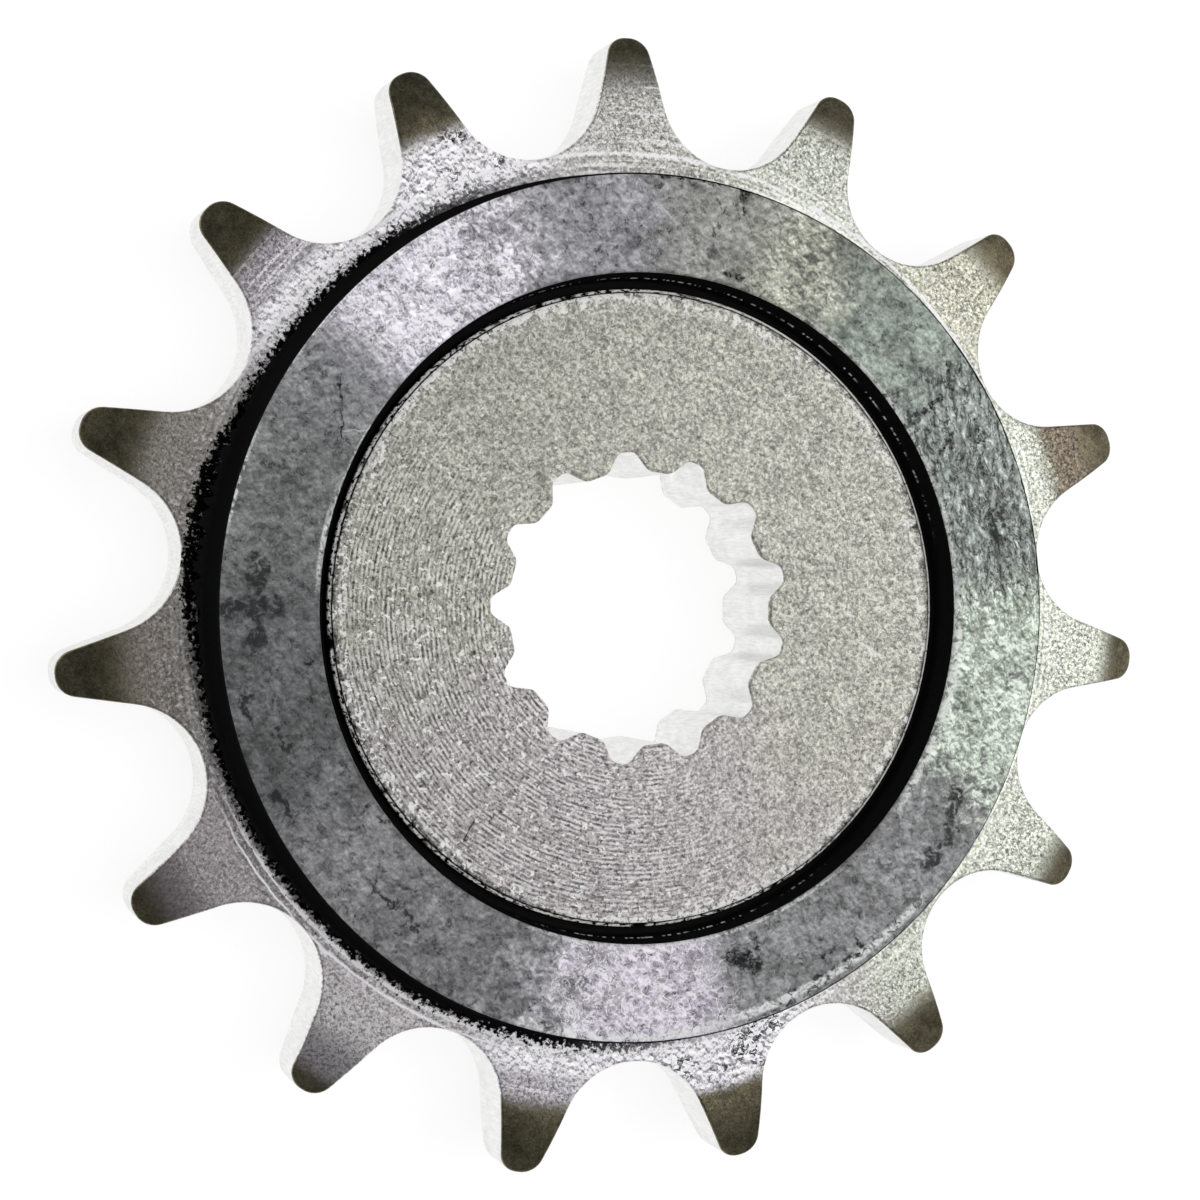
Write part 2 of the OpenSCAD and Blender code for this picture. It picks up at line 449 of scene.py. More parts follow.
class Finish:
    """A material made of nodes, ending in one Principled shader. Its places are in millimetres."""

    def __init__(self, name, turn=0):
        self.material = bpy.data.materials.new(name)
        self.material.use_nodes = True
        self.tree = self.material.node_tree
        self.shader = self.tree.nodes["Principled BSDF"]
        place = self.add("TexCoord").outputs["Object"]
        self.place = self.turned(self.vector("SCALE", place, scale=1 / MM), turn)
        self.flat = self.vector("MULTIPLY", self.place, (1, 1, 0))
        self.radius = self.vector("LENGTH", self.flat, output="Value")
        split = self.add("SeparateXYZ")
        self.put(split.inputs[0], self.place)
        self.angle = self.math("ARCTAN2", split.outputs["Y"], split.outputs["X"])
        self.height = self.math("ABSOLUTE", split.outputs["Z"])
        self.is_front = self.math("GREATER_THAN", split.outputs["Z"], 0)

    def add(self, kind, **settings):
        node = self.tree.nodes.new("ShaderNode" + kind)
        for key, value in settings.items():
            setattr(node, key, value)
        return node

    def put(self, socket, value):
        if isinstance(value, bpy.types.NodeSocket):
            self.tree.links.new(value, socket)
        elif socket.type == "RGBA" and len(value) == 3:
            socket.default_value = (*value, 1)
        else:
            socket.default_value = value

    def set(self, **values):
        """Sets or links inputs of the shader, by their names with _ for a space."""
        for key, value in values.items():
            self.put(self.shader.inputs[key.replace("_", " ")], value)

    def vector(self, operation, a, b=None, scale=None, output="Vector"):
        node = self.add("VectorMath", operation=operation)
        self.put(node.inputs[0], a)
        if b is not None:
            self.put(node.inputs[1], b)
        if scale is not None:
            self.put(node.inputs["Scale"], scale)
        return node.outputs[output]

    def turned(self, place, degrees):
        """A place turned about the axis."""
        node = self.add("VectorRotate", rotation_type="Z_AXIS")
        self.put(node.inputs["Vector"], place)
        self.put(node.inputs["Angle"], math.radians(degrees))
        return node.outputs[0]

    def math(self, operation, a, b=0.0, c=0.0):
        node = self.add("Math", operation=operation)
        for socket, value in zip(node.inputs, (a, b, c)):
            self.put(socket, value)
        return node.outputs[0]

    def times(self, *values):
        product = values[0]
        for value in values[1:]:
            product = self.math("MULTIPLY", product, value)
        return product

    def off_middle(self, value, amount):
        """A noise value centred on 0 and scaled."""
        return self.math("MULTIPLY_ADD", value, amount, -0.5 * amount)

    def most(self, *values):
        """The largest of several numbers."""
        largest = values[0]
        for value in values[1:]:
            largest = self.math("MAXIMUM", largest, value)
        return largest

    def left_of(self, value):
        """1 less a number."""
        return self.math("SUBTRACT", 1.0, value)

    def noise(self, scale, detail=2.0, roughness=0.5, place=None, distortion=0.0, output="Fac"):
        node = self.add("TexNoise")
        self.put(node.inputs["Vector"], self.place if place is None else place)
        self.put(node.inputs["Scale"], scale)
        self.put(node.inputs["Detail"], detail)
        self.put(node.inputs["Roughness"], roughness)
        self.put(node.inputs["Distortion"], distortion)
        return node.outputs[output]

    def warped(self, scale, amount):
        """The flat place, shifted about by noise."""
        shift = self.vector("SUBTRACT", self.noise(scale, 3.0, 0.6, output="Color"), (0.5, 0.5, 0.5))
        return self.vector("ADD", self.flat, self.vector("MULTIPLY", shift, (amount, amount, 0)))

    def span(self, value, low, high, to_low=0.0, to_high=1.0):
        """A value mapped smoothly from one span to another."""
        node = self.add("MapRange", interpolation_type="SMOOTHSTEP")
        for socket, entry in zip(node.inputs, (value, low, high, to_low, to_high)):
            self.put(socket, entry)
        return node.outputs[0]

    def blend(self, share, a, b):
        """A number between two others."""
        node = self.add("Mix", data_type="FLOAT")
        for key, value in ((0, share), (2, a), (3, b)):
            self.put(node.inputs[key], value)
        return node.outputs[0]

    def mix(self, share, a, b):
        """A colour between two others."""
        node = self.add("Mix", data_type="RGBA")
        for key, value in ((0, share), (6, a), (7, b)):
            self.put(node.inputs[key], value)
        return node.outputs[2]

    def shade(self, colour, factor):
        """A colour made lighter or darker."""
        return self.vector("SCALE", colour, scale=factor)

    def bump(self, height, depth):
        """Bump of a depth in millimetres."""
        node = self.add("Bump")
        self.put(node.inputs["Distance"], depth * MM)
        self.put(node.inputs["Height"], height)
        return node.outputs["Normal"]

    def polar(self, radial, tangential, middle_r):
        """A place for noise in turned marks: radius and arc length, each with its own scale."""
        node = self.add("CombineXYZ")
        self.put(node.inputs["X"], self.times(self.radius, radial))
        self.put(node.inputs["Y"], self.times(self.angle, middle_r * tangential))
        self.put(node.inputs["Z"], self.is_front)
        return node.outputs[0]

    def stretch(self, start, end, soft, angle=None):
        """1 between two angles in degrees, falling to 0 across a soft end at each."""
        middle, half, soft = (math.radians(value) / 2 for value in (start + end, end - start, soft))
        away = self.math("SUBTRACT", self.angle if angle is None else angle, middle)
        away = self.math("ABSOLUTE", self.math("WRAP", away, math.pi, -math.pi))
        return self.span(away, half - soft, half + soft, 1.0, 0.0)

    def band(self, value, middle, half):
        """1 where a value is at the middle of a band, falling to 0 at its edges."""
        away = self.math("ABSOLUTE", self.math("SUBTRACT", value, middle))
        return self.span(away, 0.4 * half, half, 1.0, 0.0)

    def stretches(self, entries, soft, angle=None):
        """1 in any of several stretches."""
        return self.most(*(self.stretch(start, end, soft, angle) for start, end in entries))

    def drawn(self, degrees, across, along):
        """The place, turned and drawn out in one direction, for noise."""
        return self.vector("MULTIPLY", self.turned(self.place, degrees), (along, across, 1))

    def relief(self, scale, detail, step, place=None):
        """Painted light and shade: noise as a relief lit from one side, 0 where it is level, about 0.1 either
        way on slopes.
        """
        place = self.place if place is None else place
        here = self.noise(scale, detail, 0.6, place)
        beyond = self.noise(scale, detail, 0.6, self.vector("ADD", place, step))
        return self.math("SUBTRACT", here, beyond)

    def mark(self, place, x0, y0, x1, y1, width):
        """1 on a line between two points, falling to 0 at a width from it."""
        line_x, line_y = x1 - x0, y1 - y0
        place = self.vector("SUBTRACT", place, (x0, y0, 0))
        along = self.vector("DOT_PRODUCT", place, (line_x, line_y, 0), output="Value")
        along = self.math("DIVIDE", along, line_x**2 + line_y**2)
        along = self.math("MAXIMUM", self.math("MINIMUM", along, 1), 0)
        nearest = self.vector("SCALE", (line_x, line_y, 0), scale=along)
        away = self.vector("DISTANCE", place, nearest, output="Value")
        return self.span(away, 0.4 * width, width, 1.0, 0.0)

    def marks(self, entries, place):
        """All marks of a list together."""
        return self.most(*(self.mark(place, *entry) for entry in entries))


# Scratches on the hub's face: from one point to another, and the width
HUB_SCRATCHES = (
    (13.2, 11.7, 13.1, 10.9, 0.16), (12.3, 11.8, 11.9, 10.6, 0.16), (-15.2, -7.9, -17.3, -8.1, 0.14),
)
HUB_DENTS = (
    (1.4, 19.4, 1.2, 21.1, 0.07), (-6.1, 21.9, -7.0, 21.6, 0.18), (-13.9, -17.4, -14.3, -17.7, 0.12),
)
# Step from one turned line on the hub's face to the next, and the angles between which the lines show
FEED_STEP = 0.34
LINED = (0, 140)
# Angles between which the hub's face is tinted violet
VIOLET = (60, 165)
# Stretches where a painted highlight runs all along the hub's rim, and not only in flecks
RIM_HIGHLIGHTS = ((-60, 8), (108, 160))
# The hub's face: its plain and its violet tint, bare metal and painted highlights, and pits
HUB_TINTS = ((0.645, 0.64, 0.568), (0.665, 0.63, 0.635))
BARE_AND_HIGHLIGHT_WHITE = (0.95, 0.945, 0.92)
PIT_BROWN = (0.03, 0.025, 0.022)


def hub_steel():
    """The hub's face: fine bright grains with painted sparkle, turned lines on one side, faint tints and a
    painted highlight on the rim.
    """
    f = Finish("hub_steel")
    grain = f.noise(3.6, 4.0, 0.8, distortion=0.5)
    dashes = f.noise(1.0, 2.0, 0.6, f.polar(6.0, 1.0, 17))
    patch = f.noise(0.16, 2.0, 0.5)
    cloud = f.noise(0.7, 3.0, 0.6)
    wander = f.math("ADD", f.angle, f.off_middle(patch, 1.2))
    lined = f.stretch(*LINED, 60)
    phase = f.math("MULTIPLY_ADD", f.radius, FULL_TURN / FEED_STEP, f.off_middle(cloud, 5.0))
    feed = f.times(f.math("SINE", phase), lined, f.span(cloud, 0.35, 0.60))
    tone = f.blend(f.times(lined, 0.42), grain, dashes)
    tone = f.math("MULTIPLY_ADD", feed, 0.065, tone)
    tint = f.mix(f.stretch(*VIOLET, 70, wander), *HUB_TINTS)
    tint = f.shade(tint, f.span(cloud, 0.30, 0.70, 0.92, 1.08))
    contrast = f.span(tone, 0.28, 0.72, f.blend(lined, 0.34, 0.10), f.blend(lined, 1.64, 1.98))
    colour = f.shade(tint, contrast)
    # Painted sparkle: white specks in the grain standing in for glints
    sparks = f.times(f.span(f.noise(2.3, 1.0), 0.70, 0.75), f.span(cloud, 0.45, 0.60))
    sparks = f.most(sparks, f.times(f.span(f.noise(3.2, 1.0), 0.63, 0.69), f.blend(lined, 0.35, 1.0)))
    pits = f.times(f.span(f.noise(3.9, 2.0), 0.40, 0.34), f.blend(lined, 0.2, 0.8))
    rim_noise = f.noise(2.2, 3.0, 0.7)
    worn_r = f.math("ADD", f.off_middle(rim_noise, 1.6), f.radius)
    # Painted highlight along the hub's rim
    rim_highlight = f.times(f.span(worn_r, hub_face_r - 0.50, hub_face_r - 0.30), f.stretches(RIM_HIGHLIGHTS, 30))
    rim_highlight = f.times(rim_highlight, f.span(grain, 0.38, 0.50, 0.4, 1.0))
    flecked = f.times(f.span(worn_r, hub_face_r - 1.1, hub_face_r - 0.5), f.span(rim_noise, 0.53, 0.58))
    pitted = f.times(f.span(worn_r, hub_face_r - 0.7, hub_face_r - 0.3), f.span(rim_noise, 0.44, 0.38))
    scratched = f.times(f.marks(HUB_SCRATCHES, f.warped(2.0, 0.5)), f.is_front)
    dented = f.times(f.marks(HUB_DENTS, f.warped(2.0, 0.4)), f.is_front)
    # Bare steel in flecks and scratches, with the painted sparkle and rim highlight
    bare_and_highlight = f.most(sparks, rim_highlight, flecked, f.times(scratched, 0.7))
    colour = f.mix(bare_and_highlight, colour, BARE_AND_HIGHLIGHT_WHITE)
    colour = f.mix(f.times(f.most(dented, pitted, pits), 0.85), colour, PIT_BROWN)
    f.set(Base_Color=colour, Metallic=f.left_of(f.times(bare_and_highlight, 0.75)))
    f.set(Roughness=f.span(tone, 0.3, 0.7, 0.60, 0.46))
    f.set(Normal=f.bump(tone, 0.012))
    return f.material


# Where a painted highlight runs all along the hub's chamfer: angles from and to
CHAMFER_HIGHLIGHT = (-188, -68)
CHAMFER_BLACK = (0.003, 0.003, 0.003)
CORNER_WHITE = (0.92, 0.91, 0.88)


def hub_edge():
    """The hub's chamfer and wall: painted black for the ring's black wall that they mirror, with flecks of
    bright steel along the corner and a painted highlight along it in one stretch.
    """
    f = Finish("hub_edge")
    flecks = f.noise(1.0, 3.0, 0.7, f.polar(5.0, 2.2, 23))
    worn = f.noise(1.0, 2.0, 0.6, f.polar(0.3, 0.45, 23))
    corner = f.span(f.height, hub_top - 0.75, hub_top - 0.40)
    corner = f.times(corner, f.span(f.radius, hub_face_r + 0.05, hub_face_r + 0.15))
    bare_and_highlight = f.times(corner, f.span(flecks, 0.45, 0.51), f.span(worn, 0.36, 0.46))
    # Painted highlight along the corner, all along one stretch
    bright = f.times(corner, f.stretch(*CHAMFER_HIGHLIGHT, 24), f.span(flecks, 0.34, 0.42))
    bare_and_highlight = f.most(bare_and_highlight, bright)
    # Painted black standing in for the ring's black wall mirrored in the chamfer and wall
    f.set(Base_Color=f.mix(bare_and_highlight, CHAMFER_BLACK, CORNER_WHITE), Specular_IOR_Level=0.02)
    f.set(Roughness=f.span(flecks, 0.3, 0.7, 0.5, 0.3))
    f.set(Normal=f.bump(flecks, 0.05))
    return f.material


# The bright witness line round the rings: its centre, radius and half width, and where it is lost
WITNESS = ((0.31, -0.31, 0), 32.62, 0.18)
WITNESS_LOST = (4, 64)
# Fine turned lines beside it: angles from and to, radii and half width
TURNED = ((62, 116), (32.75, 33.35), 0.10)
# Stretches of the plate with a painted sheen drawn as white frost, where only the part by the ring has it,
# and where it is cracked
SHEEN_STRETCHES = ((-44, -16), (122, 152))
SHEEN_BY_RING = ((-44, 4), (106, 152))
CRACKED = ((-40, -28), (124, 150))
# Stretches of the teeth with bright turned streaks, and where the grain is fine and even
STREAKED = ((-20, 8), (104, 126), (-92, -46))
CALM = ((6, 78),)
# Where each tooth turns brown: the radius and half the width of the change, counter-clockwise from +Y
BROWNED = (
    (40.1, 0.9), (36.5, 0.7), (36.1, 0.5), (37.6, 1.2), (39.4, 1.2), (39.0, 1.1), (38.9, 0.7), (38.5, 1.3),
    (38.7, 1.3), (39.1, 1.6), (36.9, 0.7), (37.3, 0.9), (37.0, 1.6), (36.8, 1.7), (39.6, 1.4),
)
# Where specks of rubber lie on the plate, and where they are spilled further out: angles from and to
SPECKED = (-38, 135)
SPILLED = (14, 38)
# Tinted stretches of the teeth, lighter and darker as painted light and shade, and one brown stain: angles
# from and to, the radius beyond which they show, and the tint
SHADED_AND_STAINED = (
    (-200, -112, 32.0, (0.70, 0.73, 0.63)), (-92, -64, 32.0, (0.70, 0.72, 0.63)),
    (-134, -118, 35.4, (0.205, 0.165, 0.12)), (-112, -92, 32.4, (0.60, 0.60, 0.49)),
    (6, 30, 33.2, (0.45, 0.415, 0.38)), (30, 54, 33.4, (0.39, 0.35, 0.315)),
    (54, 78, 32.0, (0.60, 0.56, 0.57)), (78, 102, 32.0, (0.90, 0.85, 0.87)),
    (102, 122, 32.0, (0.74, 0.70, 0.745)), (-16, 6, 32.0, (0.66, 0.62, 0.66)),
)
PLATE_TINT = (0.67, 0.66, 0.615)
TIP_BROWN = (0.205, 0.182, 0.118)
SHEEN_WHITE = (0.96, 0.935, 0.975)
GLINT_WHITE = (0.95, 0.94, 0.955)
SPECK_BLACK = (0.006, 0.006, 0.006)


def plate_steel():
    """The toothed plate's faces: bright grains, a painted sheen drawn as frost, painted relief shade, a
    witness line by the ring, teeth tinted lighter and darker as painted light and shade with one brown stain,
    brown tips.
    """
    f = Finish("plate_steel")
    grain = f.noise(4.4, 4.0, 0.8, distortion=0.4)
    fine = f.noise(6.5, 2.0, 0.6)
    flakes = f.noise(2.0, 4.0, 0.7, distortion=0.9)
    lines = f.noise(1.0, 2.0, 0.6, f.polar(3.4, 0.10, 33))
    patch = f.noise(0.4, 3.0, 0.6)
    relief = f.relief(2.4, 3.0, (0.10, -0.14, 0))
    wander = f.math("ADD", f.angle, f.off_middle(flakes, 0.12))
    ragged = f.math("ADD", f.off_middle(patch, 0.9), f.off_middle(flakes, 2.2))
    ragged_r = f.math("ADD", f.radius, ragged)
    by_ring = f.span(f.radius, 32.4, 35.5, 1.0, 0.0)
    tone = f.blend(f.times(by_ring, 0.35), grain, lines)
    colour = PLATE_TINT
    # Painted light and shade: stretches of teeth made lighter and darker, and one stretch stained brown
    for start, end, from_r, stretch_tint in SHADED_AND_STAINED:
        tinted = f.times(f.stretch(start, end, 6, wander), f.span(ragged_r, from_r - 0.9, from_r + 0.9))
        colour = f.mix(f.times(tinted, 0.95), colour, stretch_tint)
    calm = f.stretches(CALM, 12, wander)
    dark_side, light_side = f.blend(calm, 0.10, 0.36), f.blend(calm, 1.72, 1.56)
    colour = f.shade(colour, f.span(tone, 0.28, 0.72, dark_side, light_side))
    # Painted light and shade from the relief
    colour = f.shade(colour, f.math("MULTIPLY_ADD", relief, 0.9, 1.0))
    brown_r, brown_soft = BROWNED[0]
    for tooth, (tooth_r, tooth_soft) in enumerate(BROWNED):
        start = 90 + (tooth - 0.5) * 360 / TEETH
        here = f.stretch(start, start + 360 / TEETH, 2)
        brown_r = f.blend(here, brown_r, tooth_r)
        brown_soft = f.blend(here, brown_soft, tooth_soft)
    brown_edge = f.math("ADD", ragged_r, f.off_middle(grain, 1.8))
    browned = f.span(f.math("DIVIDE", f.math("SUBTRACT", brown_edge, brown_r), brown_soft), -1.0, 1.0)
    brown = f.shade(TIP_BROWN, f.span(fine, 0.3, 0.7, 0.70, 1.30))
    brown = f.shade(brown, f.times(f.span(patch, 0.3, 0.7, 0.65, 1.25), f.span(flakes, 0.3, 0.7, 0.7, 1.25)))
    inner = f.span(f.math("ADD", f.radius, f.off_middle(flakes, 4.0)), 35.6, 38.0, 1.0, 0.0)
    by_foot = f.span(ragged_r, 33.8, 35.0, 1.0, 0.0)
    # Painted sheen, drawn as white frosted flakes, in stretches round the plate
    plate_sheen = f.times(f.stretches(SHEEN_BY_RING, 14, wander), by_foot)
    plate_sheen = f.most(plate_sheen, f.times(f.stretches(SHEEN_STRETCHES, 14, wander), inner))
    plate_sheen = f.times(plate_sheen, f.span(grain, 0.32, 0.46, 0.45, 1.0))
    # The painted sheen's flakes carry painted relief shade too
    flaked = f.times(f.span(flakes, 0.36, 0.54, 0.34, 1.12), f.math("MULTIPLY_ADD", relief, 3.5, 1.0))
    colour = f.mix(plate_sheen, colour, f.shade(SHEEN_WHITE, flaked))
    streaks = f.times(f.span(lines, 0.56, 0.64), f.stretches(STREAKED, 8, wander), f.span(grain, 0.38, 0.50))
    # Painted glints: white specks on the steel by the ring
    glints = f.times(f.span(f.noise(3.6, 1.0), 0.60, 0.66), f.span(f.radius, 33.0, 37.0, 1.0, 0.0))
    glints = f.times(glints, f.blend(calm, 1.0, 0.6))
    centre, witness_r, witness_half = WITNESS
    from_centre = f.vector("DISTANCE", f.flat, centre, output="Value")
    witness = f.band(f.math("ADD", from_centre, f.off_middle(flakes, 0.8)), witness_r, witness_half)
    witness = f.times(witness, f.span(f.noise(0.55, 3.0, 0.6), 0.36, 0.50))
    witness = f.times(witness, f.left_of(f.stretch(*WITNESS_LOST, 14)), 0.9)
    turned_stretch, turned_radii, turned_half = TURNED
    turned_r = f.math("ADD", from_centre, f.off_middle(patch, 0.5))
    cut_lines = f.most(*(f.band(turned_r, radius, turned_half) for radius in turned_radii))
    cut_lines = f.times(cut_lines, f.stretch(*turned_stretch, 16), f.span(grain, 0.30, 0.46, 0.4, 1.0))
    # Bare steel in the witness line, turned lines and streaks, with the painted glints
    bare_and_highlight = f.most(f.times(glints, 0.7), f.times(streaks, 0.7), witness, cut_lines)
    colour = f.mix(bare_and_highlight, colour, GLINT_WHITE)
    colour = f.mix(browned, colour, brown)
    matt = f.times(f.most(f.times(plate_sheen, 0.9), bare_and_highlight), f.left_of(browned))
    cracks = f.times(f.band(flakes, 0.43, 0.06), f.stretches(CRACKED, 8, wander), inner)
    cracks = f.times(cracks, f.span(patch, 0.47, 0.58))
    spilled = f.math("MULTIPLY_ADD", f.stretch(*SPILLED, 14, wander), -0.9, f.radius)
    reach = f.span(spilled, ring_foot_r + 0.1, ring_foot_r + 1.25, 0.15, -0.12)
    specks = f.span(f.math("ADD", f.noise(3.0, 3.0, 0.7), reach), 0.48, 0.58)
    near_foot = f.span(spilled, ring_foot_r + 1.2, ring_foot_r + 1.6, 1.0, 0.0)
    specks = f.most(f.times(specks, f.stretch(*SPECKED, 40), near_foot), cracks)
    colour = f.mix(specks, colour, SPECK_BLACK)
    f.set(Base_Color=colour, Metallic=f.left_of(f.times(matt, f.left_of(specks), 0.8)))
    f.set(Roughness=f.blend(browned, f.span(tone, 0.34, 0.66, 0.46, 0.28), 0.36))
    f.set(Normal=f.bump(f.times(tone, f.span(f.radius, 36.5, 39.5, 1.0, 0.3)), 0.03))
    return f.material


WALL_TINTS = ((0.89, 0.89, 0.875), (0.99, 0.99, 0.98))


def wall_steel():
    """Cut walls and edges: satin plated steel with fine tool marks along the cut."""
    f = Finish("wall_steel")
    streaks = f.noise(2.2, 3.0, 0.6, f.vector("MULTIPLY", f.place, (3, 3, 0.35)))
    patch = f.noise(0.6, 3.0, 0.6)
    colour = f.mix(f.span(streaks, 0.3, 0.7), *WALL_TINTS)
    f.set(Base_Color=f.shade(colour, f.span(patch, 0.3, 0.7, 0.92, 1.0)), Metallic=1.0)
    f.set(Roughness=f.span(streaks, 0.3, 0.7, 0.44, 0.32))
    f.set(Normal=f.bump(streaks, 0.02))
    return f.material


# The ring's face where it is plain, and its stretches of grey tone and painted sheen: angles from and to, the
# soft end, and the tint
PLAIN_RUBBER = (0.128, 0.130, 0.132)
TONES_AND_SHEENS = (
    (-174, -139, 12, (0.60, 0.67, 0.58)),
    (-139, -107, 8, (0.33, 0.365, 0.335)),
    (-107, -86, 10, (0.32, 0.365, 0.32)),
    (-86, -70, 14, (0.48, 0.49, 0.41)),
    (-70, -55, 10, (0.34, 0.345, 0.32)),
    (-55, -32, 12, (0.335, 0.33, 0.35)),
    (-32, -3, 14, (0.74, 0.71, 0.79)),
    (-3, 10, 14, (0.26, 0.265, 0.27)),
    (10, 30, 14, (0.18, 0.193, 0.187)),
    (66, 104, 14, (0.205, 0.205, 0.209)),
    (104, 114, 12, (0.34, 0.335, 0.35)),
    (112, 138, 8, (0.58, 0.54, 0.62)),
    (138, 186, 12, (0.27, 0.272, 0.275)),
)
# Stretches where the surface is flaked like foil, scribbled with fine bright lines, or folded into creases
FLAKED = ((-174, -142), (-86, -70), (-33, -3))
SCRIBBLED = ((-30, -6), (110, 138))
CREASED = ((-146, -106),)
# Soft dark marks, sharp ones and pale ones on the ring's face: from one point to another, and the width
SMUDGES = (
    (24.9, 13.8, 21.8, 18.3, 0.75), (24.7, 17.6, 22.0, 15.7, 1.05), (20.4, 21.9, 19.0, 23.3, 0.45),
    (17.2, 22.1, 16.1, 22.9, 0.45), (5.2, 27.5, 1.0, 27.9, 0.30), (14.6, 26.3, 12.8, 26.6, 0.60),
    (-20.0, 16.6, -21.9, 16.4, 0.80), (-24.4, 18.6, -28.6, 10.2, 0.35),
    (-27.4, -3.0, -28.4, -1.4, 0.75), (-29.1, -0.3, -28.6, 2.5, 0.75), (-29.0, 8.0, -29.7, 7.6, 0.40),
    (-18.0, -21.8, -19.2, -20.5, 0.85), (-8.4, -23.2, -9.1, -24.2, 0.65),
)
CUTS = (
    (27.9, 0.1, 25.1, 3.6, 0.09), (17.9, 17.2, 18.0, 17.9, 0.20), (7.7, 23.4, 7.0, 23.2, 0.22),
    (9.0, 23.7, 8.9, 23.1, 0.18), (-25.6, 13.0, -26.0, 12.0, 0.25), (-27.4, 10.4, -28.1, 10.4, 0.25),
    (-8.4, -28.4, -9.4, -27.0, 0.24), (-9.1, -24.9, -9.4, -26.0, 0.34), (-11.8, -22.7, -11.7, -24.3, 0.30),
    (-12.6, -26.4, -13.8, -25.2, 0.26), (9.5, -22.8, 8.3, -23.4, 0.28), (11.9, -28.8, 11.5, -28.2, 0.45),
    (11.5, -28.2, 10.8, -27.3, 0.22), (17.4, -25.7, 15.5, -27.0, 0.35), (15.5, -27.0, 13.6, -27.9, 0.28),
    (-19.6, 16.9, -20.9, 16.6, 0.70), (-20.6, 16.2, -21.8, 16.5, 0.75), (-20.3, 14.7, -21.0, 15.2, 0.44),
)
PALE_LINES = ((25.3, 3.1, 24.1, 2.2, 0.10), (22.9, 8.3, 22.2, 10.0, 0.16), (-17.0, -22.9, -17.5, -22.0, 0.25))
# Painted highlights along the ring's edges: angles from and to, the radius and the half width
EDGE_HIGHLIGHTS = (
    (-178, -140, 24.35, 0.40), (-140, -82, 24.15, 0.16), (17, 30, 24.25, 0.30), (2, 18, 24.12, 0.12),
    (16, 27, 30.95, 0.22), (-24, 4, 30.98, 0.14), (104, 160, 24.15, 0.16), (108, 136, 30.6, 0.40),
    (136, 170, 30.3, 0.45),
)
SCRIBBLE_WHITE = (0.95, 0.94, 0.96)
HAIR_BLACK = (0.02, 0.02, 0.022)
SMUDGE_BLACK = (0.014, 0.015, 0.016)
CUT_BLACK = (0.006, 0.006, 0.007)
PALE_GREY = (0.66, 0.67, 0.66)
EDGE_HIGHLIGHT_GREY = (0.84, 0.85, 0.84)


